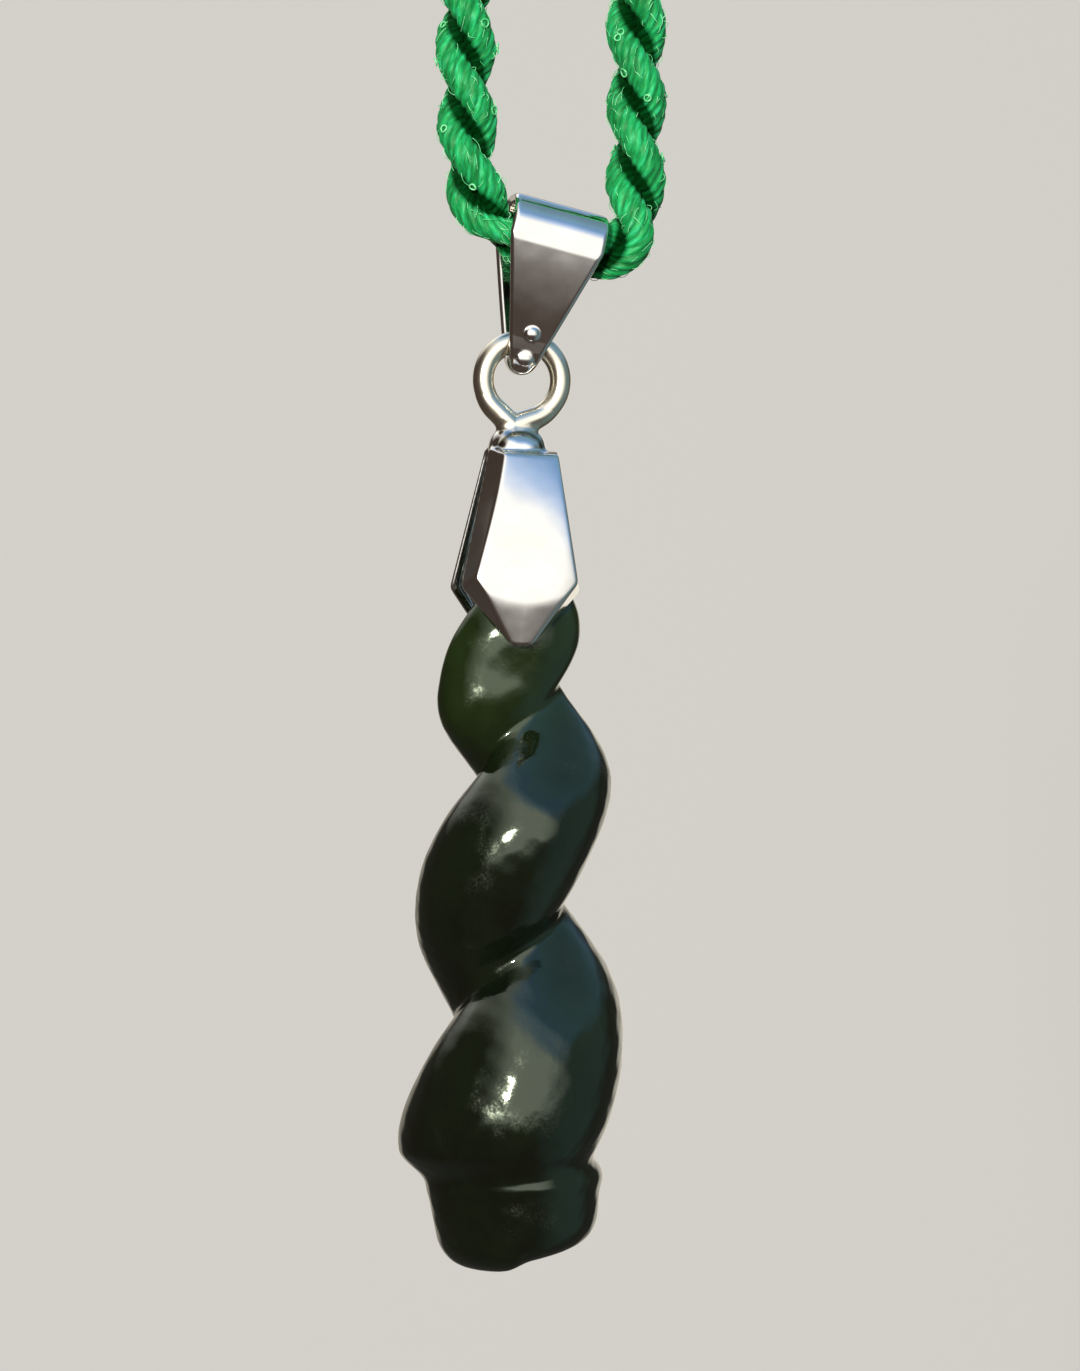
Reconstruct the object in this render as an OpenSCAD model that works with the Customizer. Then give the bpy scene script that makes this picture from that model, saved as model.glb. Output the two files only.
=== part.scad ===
// Shell-shaped stone pendant, hanging on a looped cord.
// The frame has +Z up, +X to the right of the front view and -Y at the front.
// The origin is the place where the loop hangs: under the cord, at the top of its arch.

/* [Cord] */
// Mean diameter of the two-ply twisted cord
cord_d = 2.4; // [2.2:0.1:2.5]

/* [Strap bail] */
// Height of the ring's centre below the place where the loop hangs
hang_drop = 42; // [42:0.5:42]
// Tilt of the strap bail to the right, in degrees
strap_tilt = 14; // [14:1:14]
// Thickness of the strap's sheet
strap_t = 0.42; // [0.35:0.01:0.45]
// Inside radius of the fold that the cord runs through
fold_r = 1.55; // [1.55:0.05:1.7]
// Half of the strap's width at the fold
fold_half_w = 2.3; // [2.1:0.1:2.3]
// Half of the strap's width at its tip
tip_half_w = 0.75; // [0.7:0.05:0.85]
// Distance from the ring's top wire up to the top of the strap
strap_rise = 6.6; // [6.4:0.1:6.8]
// Distance from the ring's top wire down to the strap's tip
strap_tip = 1.64; // [1.6:0.02:1.7]

/* [Ring and pinch bail] */
// Radius of the ring at the middle of its wire
ring_r = 1.85; // [1.85:0.05:1.95]
// Diameter of the ring's wire
wire_d = 0.9; // [0.8:0.05:0.9]
// Lean of the ring and pinch bail, its foot to the left, in degrees
pinch_lean = 2.2; // [1.8:0.1:2.6]
// Thickness of the pinch bail's sheet
leaf_t = 0.4; // [0.35:0.05:0.4]
// Length of a leaf from its top edge to its tip
leaf_l = 9.45; // [9.3:0.05:9.5]
// Half of a leaf's width at its widest
leaf_half_w = 2.75; // [2.7:0.05:2.9]
// Diameter of the two pins that hold the stone
pin_d = 1.2; // [1.1:0.05:1.2]

/* [Stone] */
// Height of the stone from its base to the top of its head
stone_h = 33.2; // [32.8:0.1:33.4]
// Diameter of the hole drilled through the head, front to back
hole_d = 1.3; // [1.3:0.05:1.35]
// Slope of the cut base, lower at the left, in degrees
base_slope = 8; // [4:1:10]

/* [Hidden] */
$fn = 64;
tiny = 0.02;

// Places along the chain of hanging pieces
ring_centre = [0, 0, -hang_drop];
strap_swing = 5.7;
eye = ring_centre + ring_r * [sin(strap_swing), 0, cos(strap_swing)];
fold_out_r = fold_r + strap_t;
fold_rise = strap_rise - fold_out_r;
pin_below = 11.4;
pin_x = -pin_below * sin(pinch_lean);
pin_z = -hang_drop - pin_below * cos(pinch_lean);
stone_base_z = -hang_drop - 41.7;

// The cord's centreline, a closed loop in the XZ plane: [x, z]
cord_route = [
    [1.3, -35.85], [0.1, -35.55], [-0.9, -35.05], [-1.7, -34.3], [-2.2, -33.3],
    [-2.5, -32.0], [-2.6, -30.4], [-2.7, -27.0], [-2.7, -23.0], [-3.1, -19.0],
    [-3.6, -15.5], [-4.2, -12.0], [-4.9, -8.0], [-5.2, -4.0], [-4.5, -1.4],
    [-2.6, 0.5], [0.0, 1.2], [2.6, 0.5], [4.5, -1.4], [5.2, -4.0], [5.4, -8.0],
    [5.5, -12.0], [5.5, -16.0], [5.5, -20.0], [5.5, -24.0], [5.5, -28.5],
    [5.5, -32], [5.5, -33.5], [5.4, -34.5],
    [5, -35.4], [4.3, -35.95], [3.5, -36.15], [2.4, -36.1]
];
cord_sides = 8;

// Points of one ring of the cord, square to the way from the point before to the point after
function cord_ring(i) =
    let (
        count = len(cord_route),
        before = cord_route[(i + count - 1) % count],
        after = cord_route[(i + 1) % count],
        way = (after - before) / norm(after - before),
        at = cord_route[i]
    )
    [for (k = [0 : cord_sides - 1])
        let (
            turn = (k + 0.5) * 360 / cord_sides,
            side = cord_d / 2 * cos(turn),
            depth = cord_d / 2 * sin(turn)
        )
        [at[0] - way[1] * side, depth, at[1] + way[0] * side]];

// The cord as one plain closed tube
module cord() {
    count = len(cord_route);
    points = [for (i = [0 : count - 1]) each cord_ring(i)];
    faces = [for (i = [0 : count - 1]) for (k = [0 : cord_sides - 1])
        let (
            next_ring = (i + 1) % count,
            next_side = (k + 1) % cord_sides
        )
        [i * cord_sides + k, i * cord_sides + next_side,
         next_ring * cord_sides + next_side, next_ring * cord_sides + k]];
    color([0.06, 0.56, 0.27]) polyhedron(points, faces);
}

// Side view of the strap: a big and a small circle joined by their tangents,
// all of them drawn in by the same inset
eye_r = 1.02;
eye_below = 0.35;
module strap_side(inset) {
    big = fold_out_r - inset;
    small = eye_r - inset;
    reach = fold_rise + eye_below;
    slant = asin((big - small) / reach);
    translate([0, fold_rise]) circle(r = big);
    translate([0, -eye_below]) circle(r = small);
    polygon([for (side = [-1, 1]) for (end = [0, 1])
        let (
            first = (side < 0) == (end == 0),
            r = first ? big : small,
            y = first ? fold_rise : -eye_below
        )
        [side * r * cos(slant), y - r * sin(slant)]]);
}

// Front view of the strap: a taper with a round tip
module strap_front() {
    tip_y = tip_half_w - strap_tip;
    past_top = 1;
    translate([0, tip_y]) circle(r = tip_half_w);
    polygon([
        [-tip_half_w, tip_y],
        [tip_half_w, tip_y],
        [fold_half_w, fold_rise],
        [fold_half_w, strap_rise + past_top],
        [-fold_half_w, strap_rise + past_top],
        [-fold_half_w, fold_rise]
    ]);
}

// Strip folded over the cord; its ends meet and are soldered under the ring's wire
module strap_bail() {
    block = 8;
    color([0.82, 0.8, 0.78])
    translate(eye)
    rotate([0, strap_tilt, 0])
    intersection() {
        rotate([90, 0, 90])
        translate([0, 0, -block / 2])
        linear_extrude(height = block)
        union() {
            difference() {
                strap_side(0);
                strap_side(strap_t);
            }
            translate([-strap_t, -2 * strap_tip])
            square([2 * strap_t, 2 * strap_tip - eye_below - eye_r + strap_t]);
        }
        rotate([90, 0, 0])
        translate([0, 0, -block / 2])
        linear_extrude(height = block)
        strap_front();
    }
}

// Ring of round wire whose two ends run straight and meet in a V on the neck
v_angle = 35;
v_overlap = 0.35;
module ring_wire() {
    rotate([90, 0, 0])
    rotate([0, 0, v_angle - 90])
    rotate_extrude(angle = 360 - 2 * v_angle)
    translate([ring_r, 0])
    circle(d = wire_d);
    for (side = [-1, 1])
        rotate([0, side * v_angle, 0])
        translate([0, 0, -ring_r])
        rotate([0, side * 90, 0])
        cylinder(d = wire_d, h = ring_r * tan(v_angle) + v_overlap);
}

// Leaf sizes, measured down from its top edge and out from the middle plane
leaf_top_z = -3.3;
rim_top_half_w = 1.65;
rim_top_out = 0.45;
corner_down = 6.6;
corner_out = 1.3;
facet_top_half_w = 1.15;
facet_top_down = 0.3;
facet_top_out = 1.85;
facet_half_w = 2.35;
facet_down = 6.1;
facet_out = 2.85;
facet_foot_half_w = 0.8;
facet_foot_down = 7.25;
facet_foot_out = 3.0;
tip_half = 0.1;
tip_out = 2.7;

// A speck at a place of the leaf: half width, distance down and distance out
module leaf_mark(half_w, down, out) {
    for (side = [-1, 1])
        translate([side * half_w, -out, -down])
        cube(tiny, center = true);
}

// One leaf's outer form, drawn in by the inset and opened at the back by it
module leaf_form(inset) {
    hull() {
        leaf_mark(rim_top_half_w - inset, inset, rim_top_out - inset);
        leaf_mark(leaf_half_w - inset, corner_down, corner_out - inset);
        leaf_mark(facet_top_half_w - inset / 2, facet_top_down + inset, facet_top_out - inset);
        leaf_mark(facet_half_w - inset, facet_down, facet_out - inset);
        leaf_mark(facet_foot_half_w, facet_foot_down - inset / 2, facet_foot_out - inset);
        leaf_mark(tip_half, leaf_l - 1.5 * inset, tip_out - inset);
    }
}

// The front leaf is a hollow faceted kite with its pin
pin_l = 1.9;
pin_root = 0.55;
module leaf() {
    translate([0, 0, leaf_top_z])
    difference() {
        leaf_form(0);
        leaf_form(leaf_t);
    }
    translate([0, pin_root - facet_foot_out, -pin_below])
    rotate([-90, 0, 0])
    cylinder(d = pin_d, h = pin_l);
}

// Pinch bail: two leaves, a bridge over their tops, and the ring soldered on it
bridge_r = 1.25;
bridge_half_w = 1.3;
bridge_below = 0.1;
module pinch_bail() {
    color([0.86, 0.85, 0.84])
    translate(ring_centre)
    rotate([0, pinch_lean, 0]) {
        ring_wire();
        translate([-bridge_half_w, 0, leaf_top_z - bridge_below])
        rotate([0, 90, 0])
        cylinder(r = bridge_r, h = 2 * bridge_half_w);
        leaf();
        mirror([0, 1, 0]) leaf();
    }
}

// The carved groove winds down the stone, right-handed:
// [turns counted down from the right side, height above the base]
past_head = 3;
spiral_table = [
    [-1.65, stone_h + past_head], [-0.65, stone_h], [0, 27.6], [0.5, 23.4], [1, 17.5],
    [1.5, 12.2], [2, 5.5], [2.5, 3.2], [3, 0.2], [4, -6]
];

// Sizes of the stone by height:
// [height, crest radius, groove radius, depth over width, sideways place of its axis]
girth_table = [
    [0, 3.4, 3.4, 1, -0.25], [1.8, 3.75, 3.75, 1, -0.32], [3.2, 3.98, 3.98, 1, -0.38],
    [4.2, 4.2, 4.15, 1, -0.42], [5.6, 5.35, 3.7, 1, -0.45], [8.8, 5.4, 3.2, 1, -0.45],
    [12.8, 5.05, 2.6, 1, -0.45], [17.3, 4.6, 2.25, 1, -0.4], [22.8, 4.5, 1.6, 0.92, -0.3],
    [27.5, 3.7, 2.0, 0.52, -0.25], [30.8, 3.35, 2.0, 0.58, -0.2], [stone_h, 3.0, 2.1, 0.56, -0.15]
];

// Slope of a table's column at one of its rows
function table_slope(table, i, column) =
    let (
        before = table[max(i - 1, 0)],
        after = table[min(i + 1, len(table) - 1)]
    )
    (after[column] - before[column]) / (after[0] - before[0]);

// A column of a table at a place between its rows, along a smooth curve through them
function read_table(table, at, column) =
    let (
        i = len([for (row = [1 : len(table) - 2]) if (at >= table[row][0]) row]),
        low = table[i],
        high = table[i + 1],
        step = high[0] - low[0],
        t = min(1, max(0, (at - low[0]) / step)),
        lift = t * t * (3 - 2 * t),
        bend = table_slope(table, i, column) * (1 - t) - table_slope(table, i + 1, column) * t
    )
    low[column] * (1 - lift) + high[column] * lift + step * t * (1 - t) * bend;

// How far a whorl swells between two passes of the groove, from 0 in the groove to 1
valley = 0.25;
function swell(share) =
    let (bow = 4 * share * (1 - share))
    (sqrt(bow * bow + valley * valley) - valley) / (sqrt(1 + valley * valley) - valley);

// The base is cut off at a slope, and a low toe is left at its left
toe_end_x = -1.2;
step_x = -0.45;
step_z = 0.45;
function cut_z(x) = max(0, step_z + (x - step_x) * tan(base_slope));

// The head is rounded towards its flat top, and the base towards the cut
head_round = 4.5;
head_reach = 4.75;
base_round = 1.5;
base_flat = 0.6;
function end_share(height, above_cut) =
    let (
        up = min(head_round, max(0, height - stone_h + head_round)) / head_reach,
        down = min(1, max(0, 1 - above_cut / base_round))
    )
    sqrt(1 - up * up) * (base_flat + (1 - base_flat) * sqrt(1 - down * down));

stone_cols = 48;
whorl_rows = 18;
first_row = 6;
last_row = 95;
groove_crowding = 0.04;

// A point of the stone's side: the rows follow the groove round, the columns are upright
function stone_point(column, row) =
    let (
        t = (row % whorl_rows) / whorl_rows,
        share = t - groove_crowding * sin(360 * t),
        turn = floor(row / whorl_rows) - 2 + share + column / stone_cols,
        angle = -360 * column / stone_cols,
        height = read_table(spiral_table, turn, 1),
        at = min(stone_h, max(0, height)),
        crest = read_table(girth_table, at, 1),
        groove = read_table(girth_table, at, 2),
        depth = read_table(girth_table, at, 3),
        axis_x = read_table(girth_table, at, 4),
        full_r = groove + (crest - groove) * swell(share),
        r = full_r * end_share(height, height - cut_z(axis_x + full_r * cos(angle)))
    )
    [axis_x + r * cos(angle), depth * r * sin(angle), height];

// The side as one spiral strip: past the last column it joins the first, a whole turn lower
module stone_side() {
    rows = last_row - first_row + 1;
    points = [for (c = [0 : stone_cols - 1]) for (i = [0 : rows - 1]) stone_point(c, first_row + i)];
    sides = [for (c = [0 : stone_cols - 1])
        let (
            joins = c == stone_cols - 1,
            across = joins ? whorl_rows - c * rows : rows
        )
        for (i = [0 : rows - 2 - (joins ? whorl_rows : 0)])
            let (
                a = c * rows + i,
                b = a + across
            )
            each [[a, a + 1, b + 1], [a, b + 1, b]]];
    top_rim = concat(
        [for (c = [0 : stone_cols - 1]) c * rows],
        [for (i = [whorl_rows : -1 : 1]) i]
    );
    foot_rim = concat(
        [for (c = [stone_cols - 1 : -1 : 0]) c * rows + rows - 1],
        [for (i = [whorl_rows : -1 : 1]) (stone_cols - 1) * rows + rows - 1 - i]
    );
    top = len(points);
    top_z = spiral_table[0][1];
    foot_z = spiral_table[len(spiral_table) - 1][1];
    caps = concat(
        [for (i = [0 : len(top_rim) - 1]) [top, top_rim[i], top_rim[(i + 1) % len(top_rim)]]],
        [for (i = [0 : len(foot_rim) - 1]) [top + 1, foot_rim[i], foot_rim[(i + 1) % len(foot_rim)]]]
    );
    polyhedron(concat(points, [[0, 0, top_z + 1], [0, 0, foot_z - 1]]), concat(sides, caps));
}

// The carved stone: a spiral of swelling whorls, cut at both ends and drilled through its head
module stone() {
    room = 20;
    color([0.1, 0.17, 0.1])
    difference() {
        translate([0, 0, stone_base_z]) difference() {
            stone_side();
            translate([-room / 2, -room / 2, stone_h]) cube(room);
            rotate([90, 0, 0])
            linear_extrude(height = room, center = true)
            polygon([
                [-room, -room],
                [room, -room],
                [room, cut_z(room)],
                [step_x, cut_z(step_x)],
                [toe_end_x, 0],
                [-room, 0]
            ]);
        }
        translate([pin_x, 0, pin_z])
        rotate([90, 0, 0])
        cylinder(d = hole_d, h = room, center = true);
    }
}

cord();
strap_bail();
pinch_bail();
stone();
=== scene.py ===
"""Looks of a shell-shaped stone pendant on a twisted cord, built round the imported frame.

Shapes are worked out in millimetres and turned into metres when a mesh is made.
"""
import math
from itertools import product

import bpy
import numpy as np
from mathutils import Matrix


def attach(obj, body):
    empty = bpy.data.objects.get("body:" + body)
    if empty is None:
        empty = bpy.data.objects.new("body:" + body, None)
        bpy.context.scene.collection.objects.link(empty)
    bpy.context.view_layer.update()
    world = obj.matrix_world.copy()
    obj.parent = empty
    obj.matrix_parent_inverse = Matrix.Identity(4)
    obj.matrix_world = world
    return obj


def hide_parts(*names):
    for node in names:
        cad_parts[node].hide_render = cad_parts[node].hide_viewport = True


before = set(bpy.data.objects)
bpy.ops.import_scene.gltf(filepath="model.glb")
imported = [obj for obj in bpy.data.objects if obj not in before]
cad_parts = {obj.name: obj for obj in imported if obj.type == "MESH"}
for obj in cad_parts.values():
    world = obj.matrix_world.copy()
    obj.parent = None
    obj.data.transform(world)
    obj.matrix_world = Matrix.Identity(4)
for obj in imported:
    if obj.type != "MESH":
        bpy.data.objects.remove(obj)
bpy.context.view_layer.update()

MM = 0.001

# The photo's frame and the camera's place
PHOTO_HIGH = 1371
PX_PER_MM = 21.3
SENSOR = 36
CAMERA_TURN = math.radians(-12)
CAMERA_AWAY = 250
VIEW_CENTRE = (0.827, -0.176, -56.34)

# Places that several pieces share, with turns in degrees: the ring's centre below the origin, the
# radius to its wire's middle, the strap's eye on that wire, the fold above it, and the pins below the ring
HANG_DROP = 42
RING_R = 1.85
STRAP_SWING = math.radians(5.7)
EYE = (RING_R * math.sin(STRAP_SWING), 0, RING_R * math.cos(STRAP_SWING) - HANG_DROP)
STRAP_TILT = 14
FOLD_RISE = 4.63
FOLD_CENTRE = (
    EYE[0] + FOLD_RISE * math.sin(math.radians(STRAP_TILT)),
    0,
    EYE[2] + FOLD_RISE * math.cos(math.radians(STRAP_TILT)),
)
PINCH_LEAN = 2.2
PIN_BELOW = 11.4


# Camera

def add_camera():
    """The photo's view: level, a little from the left of the pendant's front."""
    data = bpy.data.cameras.new("camera")
    data.lens = SENSOR * CAMERA_AWAY * PX_PER_MM / PHOTO_HIGH
    data.sensor_width = SENSOR
    data.clip_start = 0.01
    data.clip_end = 100
    camera = bpy.data.objects.new("camera", data)
    camera.location = (
        (VIEW_CENTRE[0] + CAMERA_AWAY * math.sin(CAMERA_TURN)) * MM,
        (VIEW_CENTRE[1] - CAMERA_AWAY * math.cos(CAMERA_TURN)) * MM,
        VIEW_CENTRE[2] * MM,
    )
    camera.rotation_euler = (math.pi / 2, 0, CAMERA_TURN)
    bpy.context.scene.collection.objects.link(camera)
    bpy.context.scene.camera = camera


# Meshes

# How far to each side a slope is measured, and the least square of a slope that a move is worked out by
SLOPE_STEP = 0.003
LEAST_STEEP = 0.04


def new_piece(name, points, faces, body, slot, normals=None, marks=None):
    """A smooth mesh object from points in millimetres, with shares per point to paint by."""
    mesh = bpy.data.meshes.new(name)
    mesh.from_pydata((np.asarray(points) * MM).tolist(), [], np.asarray(faces).tolist())
    mesh.polygons.foreach_set("use_smooth", [True] * len(mesh.polygons))
    for label, values in (marks or {}).items():
        layer = mesh.attributes.new(label, "FLOAT", "POINT")
        layer.data.foreach_set("value", np.asarray(values, dtype=np.float32))
    if normals is not None:
        mesh.normals_split_custom_set_from_vertices(normals.tolist())
    mesh.update()
    piece = bpy.data.objects.new(name, mesh)
    bpy.context.scene.collection.objects.link(piece)
    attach(piece, body)
    return piece


def slope_of(field, points):
    """The field's slope at each point."""
    slope = np.empty_like(points)
    for axis in range(3):
        reach = np.zeros(3)
        reach[axis] = SLOPE_STEP
        slope[:, axis] = (field(points + reach) - field(points - reach)) / (2 * SLOPE_STEP)
    return slope


def settle(field, points, reach, rounds=4):
    """Moves points along the slope onto the surface where the field is zero."""
    for _ in range(rounds):
        slope = slope_of(field, points)
        steep = np.maximum((slope ** 2).sum(axis=1), LEAST_STEEP)
        move = slope * -(field(points) / steep)[:, None]
        length = np.linalg.norm(move, axis=1, keepdims=True)
        points = points + move * np.minimum(1, reach / np.maximum(length, 1e-9))
    return points


def even_out(points, faces):
    """Moves each point to the middle of its neighbours along the faces' edges."""
    starts = faces.ravel()
    ends = np.roll(faces, -1, axis=1).ravel()
    count = np.bincount(starts, minlength=len(points))
    middle = np.empty_like(points)
    for axis in range(3):
        middle[:, axis] = np.bincount(starts, points[ends, axis], len(points))
    return middle / np.maximum(count, 1)[:, None]


def surface_of(field, low, high, cell):
    """Even four-sided faces where the field is zero; it is negative inside the solid."""
    low = np.array(low, dtype=float)
    counts = np.ceil((np.array(high) - low) / cell).astype(int) + 1
    rulers = [low[axis] + cell * np.arange(counts[axis]) for axis in range(3)]
    grid = np.stack(np.meshgrid(*rulers, indexing="ij"), axis=-1).reshape(-1, 3)
    inside = (field(grid) < 0).reshape(counts)

    filled = np.zeros(counts - 1, dtype=int)
    for i, j, k in product((0, 1), repeat=3):
        filled += inside[i:counts[0] - 1 + i, j:counts[1] - 1 + j, k:counts[2] - 1 + k]
    crossed = (filled > 0) & (filled < 8)
    number = np.full(crossed.shape, -1)
    number[crossed] = np.arange(crossed.sum())
    points = low + cell * (np.argwhere(crossed) + 0.5)

    faces = []
    for axis in range(3):
        here = np.take(inside, range(counts[axis] - 1), axis)
        there = np.take(inside, range(1, counts[axis]), axis)
        across = np.eye(3, dtype=int)[(axis + 1) % 3]
        along = np.eye(3, dtype=int)[(axis + 2) % 3]
        for rising in (True, False):
            spots = np.argwhere(here & ~there if rising else there & ~here)
            turns = ((0, 0), (1, 0), (1, 1), (0, 1))
            corners = [number[tuple((spots - a * across - b * along).T)] for a, b in turns]
            faces.append(np.stack(corners if rising else corners[::-1], axis=1))
    faces = np.concatenate(faces)

    points = settle(field, points, cell)
    for _ in range(2):
        points = settle(field, even_out(points, faces), cell)
    normals = slope_of(field, points)
    normals /= np.maximum(np.linalg.norm(normals, axis=1, keepdims=True), 1e-9)
    return points, faces, normals


def soft_min(a, b, blend):
    """The smaller of two fields, with a fillet where they meet."""
    share = np.clip(0.5 + 0.5 * (b - a) / blend, 0, 1)
    return b + (a - b) * share - blend * share * (1 - share)


def soft_max(a, b, blend):
    """The larger of two fields, with a rounded edge where they meet."""
    return -soft_min(-a, -b, blend)


def turn_about_y(points, degrees):
    """Points turned about the Y axis, from +Z towards +X."""
    angle = math.radians(degrees)
    turned = points.copy()
    turned[:, 0] = points[:, 0] * math.cos(angle) + points[:, 2] * math.sin(angle)
    turned[:, 2] = points[:, 2] * math.cos(angle) - points[:, 0] * math.sin(angle)
    return turned


# Cord: two plies of hard-twisted yarns

# The middle line of the loop: sideways place and height
CORD_ROUTE = [
    [1.3, -35.85], [0.1, -35.55], [-0.9, -35.05], [-1.7, -34.3], [-2.2, -33.3],
    [-2.5, -32.0], [-2.6, -30.4], [-2.7, -27.0], [-2.7, -23.0], [-3.1, -19.0],
    [-3.6, -15.5], [-4.2, -12.0], [-4.9, -8.0], [-5.2, -4.0], [-4.5, -1.4],
    [-2.6, 0.5], [0.0, 1.2], [2.6, 0.5], [4.5, -1.4], [5.2, -4.0], [5.4, -8.0],
    [5.5, -12.0], [5.5, -16.0], [5.5, -20.0], [5.5, -24.0], [5.5, -28.5],
    [5.5, -32], [5.5, -33.5], [5.4, -34.5], [5, -35.4], [4.3, -35.95],
    [3.5, -36.15], [2.4, -36.1],
]
# The closed loop's length and the rings of its mesh
ROPE_LENGTH = 85.6
ROPE_RINGS = 1100
# A ply: how far its middle is from the rope's, its radius, its turns round the rope, and where they start
PLY_OUT = 0.66
PLY_R = 0.76
ROPE_TURNS = 12
ROPE_START = 2.71
# The yarns of a ply: how many, their turns round it, points across one, crease depth and unevenness
YARNS = 8
YARN_TURNS = 34
YARN_POINTS = 5
YARN_DEPTH = 0.15
YARN_SWAY = 0.07
# Inside the strap's fold the rope is pressed together, and it eases out beyond it
FOLD_SQUEEZE = 0.84
FOLD_REACH = 2.7
FOLD_FADE = 1.6
# Little loops of stray fibre: how many, least and greatest radius, thread radius, and lift
FIBRE_LOOPS = 64
LOOP_R = (0.15, 0.22)
LOOP_THREAD_R = 0.045
LOOP_LIFT = 0.04
# Short hairs: how many, least and greatest reach and height, curl, thread radius, and depth of their ends
FIBRE_HAIRS = 1100
HAIR_REACH = (0.25, 0.8)
HAIR_HEIGHT = (0.03, 0.2)
HAIR_CURL = 0.25
HAIR_THREAD_R = 0.017
HAIR_SUNK = 0.04


def closed_line(route, count):
    """Evenly spaced points on a smooth closed line through the route's points, in millimetres."""
    spots = np.array([[x, 0, z] for x, z in route])
    before = np.roll(spots, 1, axis=0)
    after = np.roll(spots, -1, axis=0)
    later = np.roll(spots, -2, axis=0)
    fine = []
    for t in np.linspace(0, 1, 40, endpoint=False):
        bend = 2 * spots + (after - before) * t
        bend = bend + (2 * before - 5 * spots + 4 * after - later) * t * t
        bend = bend + (3 * spots - before - 3 * after + later) * t ** 3
        fine.append(bend / 2)
    fine = np.stack(fine, axis=1).reshape(-1, 3)
    fine = np.vstack([fine, fine[:1]])
    run = np.concatenate([[0], np.cumsum(np.linalg.norm(np.diff(fine, axis=0), axis=1))])
    at = np.linspace(0, run[-1], count, endpoint=False)
    return np.stack([np.interp(at, run, fine[:, axis]) for axis in range(3)], axis=1)


def unit(vectors):
    """The vectors, each made one long."""
    return vectors / np.linalg.norm(vectors, axis=-1, keepdims=True)


def rope_squeeze(line):
    """How far the rope is pressed together at each point, less than 1 inside the strap's fold."""
    away = np.linalg.norm(line - np.array(FOLD_CENTRE), axis=1)
    ease = np.clip((away - FOLD_REACH) / FOLD_FADE, 0, 1)
    ease = ease * ease * (3 - 2 * ease)
    return FOLD_SQUEEZE + (1 - FOLD_SQUEEZE) * ease


def rope_sides(line):
    """The rope's way, its sideways direction and its direction into the picture at each point."""
    way = unit(np.roll(line, -1, axis=0) - np.roll(line, 1, axis=0))
    side = np.stack([-way[:, 2], np.zeros(len(line)), way[:, 0]], axis=1)
    return way, side, np.array([0, 1.0, 0])


def ply_mesh(line, start):
    """One ply's points and middle line, with the shares per point that its yarn is painted by."""
    count = len(line)
    _, side, depth = rope_sides(line)
    squeeze = rope_squeeze(line)[:, None]
    turn = start + 2 * math.pi * ROPE_TURNS * np.arange(count) / count
    out = np.cos(turn)[:, None] * side + np.sin(turn)[:, None] * depth
    centre = line + PLY_OUT * squeeze * out
    run = unit(np.roll(centre, -1, axis=0) - np.roll(centre, 1, axis=0))
    round_way = np.cross(run, out)

    share = np.arange(YARNS * YARN_POINTS) / YARN_POINTS
    yarn = share.astype(int)
    across = 2 * (share - yarn) - 1 + 1 / YARN_POINTS
    hump = np.sqrt(np.maximum(1 - across ** 2, 0))
    steps = np.arange(count)[:, None] / count
    yarn_turn = 2 * math.pi * (share / YARNS + YARN_TURNS * steps)
    # Slow waves of unevenness, out of step from yarn to yarn
    sway = 0
    for wave in range(4):
        beats = 23 + 37 * wave + 3 * yarn
        sway = sway + np.sin(2 * math.pi * beats * steps + start + 2.3 * yarn * (wave + 1)) / 4
    radius = squeeze * (PLY_R - YARN_DEPTH * (1 - hump) + YARN_SWAY * sway)
    points = (
        centre[:, None, :]
        + (radius * np.cos(yarn_turn))[:, :, None] * out[:, None, :]
        + (radius * np.sin(yarn_turn))[:, :, None] * round_way[:, None, :]
    )
    # core is 0 on a ply's outer side and 1 where it faces the other ply, and crease is how far a point
    # lies down between yarns; shade is painted by both.
    marks = {
        "core": (1 - np.cos(yarn_turn)) / 2,
        "crease": 1 - hump + 0 * steps,
        "tint": 0.5 + 0.5 * np.sin(1.7 * yarn + 2 * math.pi * (2 + yarn) * steps),
        "around": share + 0 * steps,
        "along": 0 * share + steps * ROPE_LENGTH,
    }
    return points, centre, {label: values.ravel() for label, values in marks.items()}


def tube_faces(rings, columns, first):
    """Faces of a closed tube whose last ring joins the first."""
    ring = np.repeat(np.arange(rings), columns)
    column = np.tile(np.arange(columns), rings)
    next_ring = (ring + 1) % rings
    next_column = (column + 1) % columns
    return first + np.stack([
        ring * columns + column,
        ring * columns + next_column,
        next_ring * columns + next_column,
        next_ring * columns + column,
    ], axis=1)


def loop_path(rng, foot, first, second, up, angle):
    """A little loop of fibre that lies on the rope."""
    radius = rng.uniform(*LOOP_R)
    turns = np.linspace(0, 2 * math.pi, 17)
    lift = LOOP_LIFT * (1 + np.sin(turns + angle) ** 2)
    return (
        foot + radius * np.cos(turns)[:, None] * first
        + radius * np.sin(turns)[:, None] * second + lift[:, None] * up
    )


def hair_path(rng, foot, first, second, up):
    """A short fibre that arches off the rope, its ends sunk into it."""
    reach = rng.uniform(*HAIR_REACH)
    height = rng.uniform(*HAIR_HEIGHT)
    share = np.linspace(0, 1, 7)
    curl = rng.uniform(-HAIR_CURL, HAIR_CURL)
    return (
        foot + reach * (share - 0.5)[:, None] * second
        + curl * (share ** 2)[:, None] * first
        + (4 * height * share * (1 - share) - HAIR_SUNK)[:, None] * up
    )


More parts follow.
